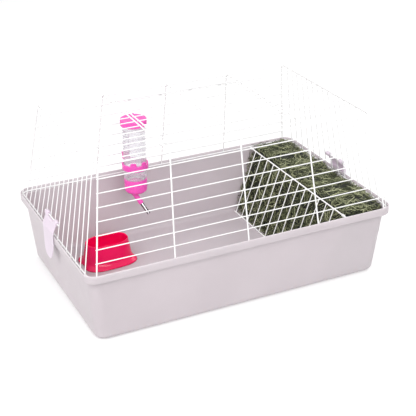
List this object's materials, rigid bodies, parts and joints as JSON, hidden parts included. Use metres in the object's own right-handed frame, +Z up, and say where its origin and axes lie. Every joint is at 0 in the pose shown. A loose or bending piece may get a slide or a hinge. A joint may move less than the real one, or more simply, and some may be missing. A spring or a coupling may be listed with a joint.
{
  "type": "rabbit hutch",
  "caption": "Indoor small-pet cage: moulded base tray, sloping wire top with roof door, end clips, hay rack, hanging water bottle and food bowl.",
  "frame": {"origin": "middle of the tray's underside, on the floor", "axes": "+X along the length towards the hay end, +Y towards the back where the bottle hangs, +Z up"},
  "size_m": [0.8134, 0.516, 0.4253],
  "materials": {
    "tray_plastic": "satin moulded, pale lilac grey",
    "clip_plastic": "satin moulded, pale lilac",
    "white_wire": "white coated wire",
    "hay": "loose dried hay",
    "clear_plastic": "clear plastic",
    "pink_plastic": "gloss moulded, pink",
    "seal_rubber": "soft",
    "spout_steel": "bright drawn tube",
    "bowl_plastic": "gloss moulded, crimson pink"
  },
  "bodies": {
    "cage": {"tray": "tray_plastic", "base_ring": "white_wire", "top_ring": "white_wire", "front_uprights": "white_wire", "back_uprights": "white_wire", "front_rails": "white_wire", "back_rails": "white_wire", "left_end_wires": "white_wire", "right_end_wires": "white_wire", "left_clip_bar": "white_wire", "right_clip_bar": "white_wire", "roof_cross_wires": "white_wire", "roof_left_wires": "white_wire", "roof_right_wires": "white_wire", "roof_front_wires": "white_wire", "roof_back_wires": "white_wire", "door_rest_rail": "white_wire", "door_hinge_rail": "white_wire", "rack_hangers": "white_wire", "hay": "hay", "bottle_holder": "pink_plastic", "bottle_hanger": "pink_plastic"},
    "roof_door": {"door_frame": "white_wire", "door_wires": "white_wire", "door_hinge_sleeves": "white_wire", "door_lift_loop": "white_wire"},
    "left_clip": {"left_clip": "clip_plastic"},
    "right_clip": {"right_clip": "clip_plastic"},
    "hay_rack": {"rack_top_rod": "white_wire", "rack_bottom_rod": "white_wire", "rack_wires": "white_wire"},
    "water_bottle": {"bottle_tube": "clear_plastic", "bottle_top_cap": "pink_plastic", "bottle_bottom_cap": "pink_plastic", "bottle_seal": "seal_rubber", "spout_sleeve": "pink_plastic", "spout_tube": "spout_steel"},
    "spout_ball": {"spout_ball": "spout_steel"},
    "bowl": {"bowl": "bowl_plastic"}
  },
  "joints": [
    {"name": "roof_door_hinge", "type": "hinge", "parent": "cage", "child": "roof_door", "pos_m": [0, 0.15, 0.41972], "axis": [-1, 0, 0], "range_deg": [0, 105]},
    {"name": "left_clip_hinge", "type": "hinge", "parent": "cage", "child": "left_clip", "pos_m": [-0.39007, 0, 0.218], "axis": [0, 1, 0], "range_deg": [0, 95]},
    {"name": "right_clip_hinge", "type": "hinge", "parent": "cage", "child": "right_clip", "pos_m": [0.39007, 0, 0.218], "axis": [0, -1, 0], "range_deg": [0, 95]},
    {"name": "hay_rack_hinge", "type": "hinge", "parent": "cage", "child": "hay_rack", "pos_m": [0.268, 0, 0.1796], "axis": [0, 1, 0], "range_deg": [0, 80]},
    {"name": "bottle_lift", "type": "slide", "parent": "cage", "child": "water_bottle", "axis": [0, 0, 1], "range_m": [0, 0.044]},
    {"name": "spout_ball_slide", "type": "slide", "parent": "water_bottle", "child": "spout_ball", "axis": [-0.4351, 0.3808, 0.8159], "range_m": [0, 0.0015]},
    {"name": "bowl_lift", "type": "slide", "parent": "cage", "child": "bowl", "axis": [0, 0, 1], "range_m": [0, 0.25]}
  ]
}
